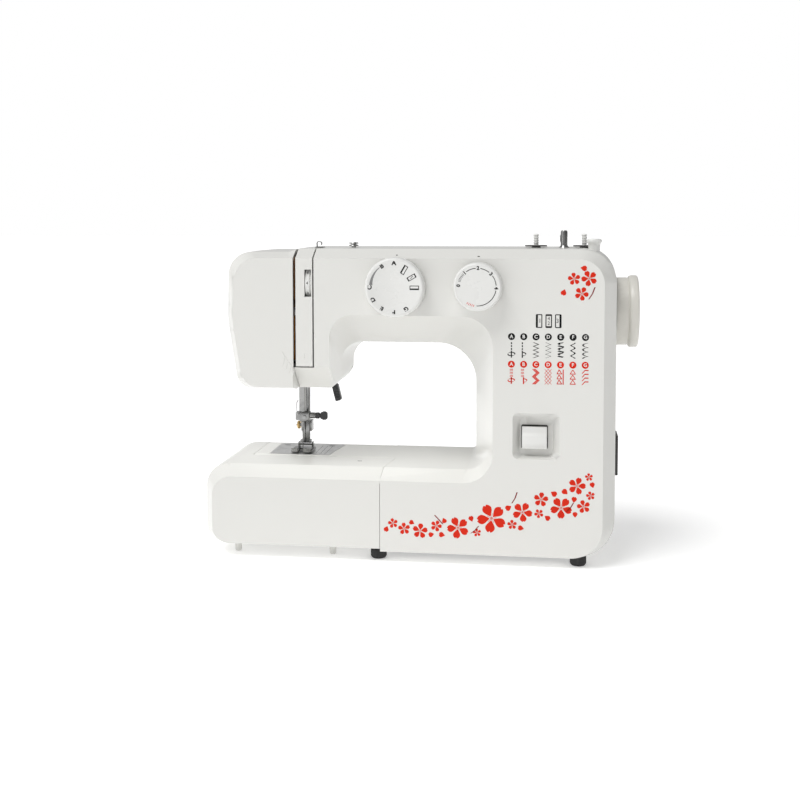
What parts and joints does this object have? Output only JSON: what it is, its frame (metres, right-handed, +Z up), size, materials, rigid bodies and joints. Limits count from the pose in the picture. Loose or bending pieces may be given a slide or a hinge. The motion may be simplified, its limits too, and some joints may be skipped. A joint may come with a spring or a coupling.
{
  "type": "sewing machine",
  "caption": "Mechanical free-arm domestic sewing machine with stitch and length dials, handwheel, slide-off extension table and carry handle.",
  "frame": {"origin": "centre of the machine's outline on the surface it stands on", "axes": "+X to the operator's right towards the handwheel, +Y away from the operator, +Z up"},
  "size_m": [0.396, 0.148, 0.2995],
  "materials": {
    "casing_white": "satin",
    "control_white": "gloss",
    "wheel_white": "satin",
    "rubber_black": "matte",
    "grip_black": "matte",
    "plate_steel": "brushed",
    "bright_chrome": "polished",
    "machined_steel": "machined",
    "cast_frame": "cast",
    "bearing_brass": "machined",
    "belt_rubber": "matte",
    "motor_black": "satin",
    "dark_moulding": "matte",
    "clear_plastic": "clear",
    "felt_dark": "matte",
    "base_grey": "matte"
  },
  "bodies": {
    "machine": {"front_cover": "casing_white", "thread_panel": "casing_white", "rear_cover": "casing_white", "free_arm_cover": "casing_white", "base_plate": "base_grey", "rubber_feet": "rubber_black", "screws": "machined_steel", "needle_plate": "plate_steel", "hinge_pins": "machined_steel", "main_frame": "cast_frame", "shaft_bushes": "bearing_brass", "drive_belt": "belt_rubber", "motor": "motor_black", "timing_belt": "belt_rubber", "presser_spring": "machined_steel", "tension_discs": "bright_chrome", "thread_guides": "bright_chrome", "spool_felts": "felt_dark", "winder_stopper": "control_white", "lamp": "clear_plastic", "power_socket": "dark_moulding", "shuttle_race": "machined_steel", "bobbin_case": "machined_steel"},
    "face_door": {"face_cover": "casing_white"},
    "table": {"extension_table": "casing_white", "table_feet": "casing_white"},
    "hook_door": {"hook_cover": "casing_white"},
    "main_shaft": {"upper_shaft": "machined_steel", "handwheel": "wheel_white", "shaft_pulleys": "dark_moulding", "crank_disc": "machined_steel"},
    "clutch": {"clutch_knob": "wheel_white"},
    "motor_shaft": {"motor_pulley": "dark_moulding"},
    "hook_drive": {"lower_shaft": "machined_steel"},
    "hook": {"shuttle_hook": "bright_chrome"},
    "bobbin": {"bobbin": "clear_plastic"},
    "swing_frame": {"needle_bar_frame": "cast_frame"},
    "needle_unit": {"needle_bar": "bright_chrome", "needle_clamp": "bright_chrome", "clamp_screw": "grip_black", "needle": "bright_chrome"},
    "crank_link": {"connecting_rod": "cast_frame"},
    "take_up": {"take_up_lever": "bright_chrome"},
    "presser": {"presser_bar": "bright_chrome", "foot_holder": "bright_chrome", "foot_screw": "bearing_brass"},
    "foot": {"presser_foot": "bright_chrome"},
    "lifter": {"presser_lifter": "grip_black"},
    "tension": {"tension_dial": "control_white"},
    "pin_left": {"spool_pin_left": "control_white"},
    "pin_right": {"spool_pin_right": "control_white"},
    "winder": {"winder_carriage": "dark_moulding"},
    "winder_spin": {"winder_spindle": "bright_chrome"},
    "pattern": {"pattern_dial": "control_white", "pattern_cams": "dark_moulding"},
    "length": {"length_dial": "control_white"},
    "reverse": {"reverse_lever": "control_white"},
    "handle": {"carry_handle": "casing_white"},
    "rocker": {"power_switch": "grip_black"},
    "feed": {"feed_dog": "machined_steel"}
  },
  "joints": [
    {"name": "handwheel_turn", "type": "hinge", "parent": "machine", "child": "main_shaft", "pos_m": [0, 0.002, 0.225], "axis": [1, 0, 0], "continuous": true},
    {"name": "clutch_turn", "type": "hinge", "parent": "main_shaft", "child": "clutch", "pos_m": [0.1914, 0.002, 0.225], "axis": [1, 0, 0], "range_deg": [0, 60]},
    {"name": "motor_spin", "type": "hinge", "parent": "machine", "child": "motor_shaft", "pos_m": [0, -0.014, 0.05], "axis": [1, 0, 0], "continuous": true},
    {"name": "hook_drive_spin", "type": "hinge", "parent": "machine", "child": "hook_drive", "pos_m": [0, 0.018, 0.036], "axis": [1, 0, 0], "continuous": true},
    {"name": "hook_swing", "type": "hinge", "parent": "machine", "child": "hook", "pos_m": [-0.1203, 0.02, 0.056], "axis": [0, 1, 0], "range_deg": [-100, 100]},
    {"name": "bobbin_spin", "type": "hinge", "parent": "machine", "child": "bobbin", "pos_m": [-0.1203, 0.02, 0.056], "axis": [0, 1, 0], "continuous": true},
    {"name": "zigzag_swing", "type": "hinge", "parent": "machine", "child": "swing_frame", "pos_m": [-0.1343, 0.013, 0.268], "axis": [0, 1, 0], "range_deg": [-0.8, 0.8]},
    {"name": "needle_stroke", "type": "slide", "parent": "swing_frame", "child": "needle_unit", "axis": [0, 0, 1], "range_m": [-0.021, 0.009]},
    {"name": "crank_link_swing", "type": "hinge", "parent": "needle_unit", "child": "crank_link", "pos_m": [-0.1203, 0.013, 0.206], "axis": [1, 0, 0], "range_deg": [-15, 15]},
    {"name": "take_up_swing", "type": "hinge", "parent": "machine", "child": "take_up", "pos_m": [-0.1103, -0.01, 0.192], "axis": [1, 0, 0], "range_deg": [-25, 12]},
    {"name": "presser_lift", "type": "hinge", "parent": "machine", "child": "lifter", "pos_m": [-0.1075, 0.048, 0.174], "axis": [0, -1, 0], "range_deg": [0, 35]},
    {"name": "presser_rise", "type": "slide", "parent": "machine", "child": "presser", "axis": [0, 0, 1], "range_m": [0, 0.006]},
    {"name": "foot_tilt", "type": "hinge", "parent": "presser", "child": "foot", "pos_m": [-0.1203, 0.0206, 0.0894], "axis": [-1, 0, 0], "range_deg": [0, 6]},
    {"name": "feed_travel", "type": "slide", "parent": "machine", "child": "feed", "axis": [0, 1, 0], "range_m": [-0.0018, 0.0018]},
    {"name": "tension_turn", "type": "hinge", "parent": "machine", "child": "tension", "pos_m": [-0.0979, -0.044, 0.2522], "axis": [1, 0, 0], "range_deg": [-150, 150]},
    {"name": "pattern_turn", "type": "hinge", "parent": "machine", "child": "pattern", "pos_m": [-0.0175, -0.06, 0.2495], "axis": [0, 1, 0], "continuous": true},
    {"name": "length_turn", "type": "hinge", "parent": "machine", "child": "length", "pos_m": [0.0556, -0.06, 0.2505], "axis": [0, 1, 0], "range_deg": [-120, 140]},
    {"name": "reverse_press", "type": "hinge", "parent": "machine", "child": "reverse", "pos_m": [0.1054, -0.02, 0.116], "axis": [1, 0, 0], "range_deg": [0, 6], "stiffness_Nm_per_rad": 0.6, "springref_deg": -2.86},
    {"name": "pin_left_pull", "type": "slide", "parent": "machine", "child": "pin_left", "axis": [0, 0, 1], "range_m": [0, 0.03]},
    {"name": "pin_right_pull", "type": "slide", "parent": "machine", "child": "pin_right", "axis": [0, 0, 1], "range_m": [0, 0.03]},
    {"name": "winder_engage", "type": "slide", "parent": "machine", "child": "winder", "axis": [1, 0, 0], "range_m": [0, 0.0035]},
    {"name": "winder_spindle_spin", "type": "hinge", "parent": "winder", "child": "winder_spin", "pos_m": [0.1307, 0, 0.246], "axis": [0, 0, 1], "continuous": true},
    {"name": "face_cover_open", "type": "hinge", "parent": "machine", "child": "face_door", "pos_m": [-0.1766, -0.0022, 0.226], "axis": [0, 0, -1], "range_deg": [0, 100]},
    {"name": "hook_cover_open", "type": "hinge", "parent": "machine", "child": "hook_door", "pos_m": [-0.11725, -0.0057, 0.024], "axis": [1, 0, 0], "range_deg": [0, 80]},
    {"name": "table_slide", "type": "slide", "parent": "machine", "child": "table", "axis": [-1, 0, 0], "range_m": [0, 0.15]},
    {"name": "handle_lift", "type": "hinge", "parent": "machine", "child": "handle", "pos_m": [0, 0.07, 0.256], "axis": [1, 0, 0], "range_deg": [0, 175]},
    {"name": "power_rock", "type": "hinge", "parent": "machine", "child": "rocker", "pos_m": [0.177, 0.033, 0.0925], "axis": [0, 1, 0], "range_deg": [-8, 8]}
  ],
  "couplings": [
    {"joint": "motor_spin", "follows": "handwheel_turn", "ratio": 3.7143},
    {"joint": "hook_drive_spin", "follows": "handwheel_turn", "ratio": 1},
    {"joint": "presser_lift", "follows": "presser_rise", "rad_per_m": 101.8}
  ]
}
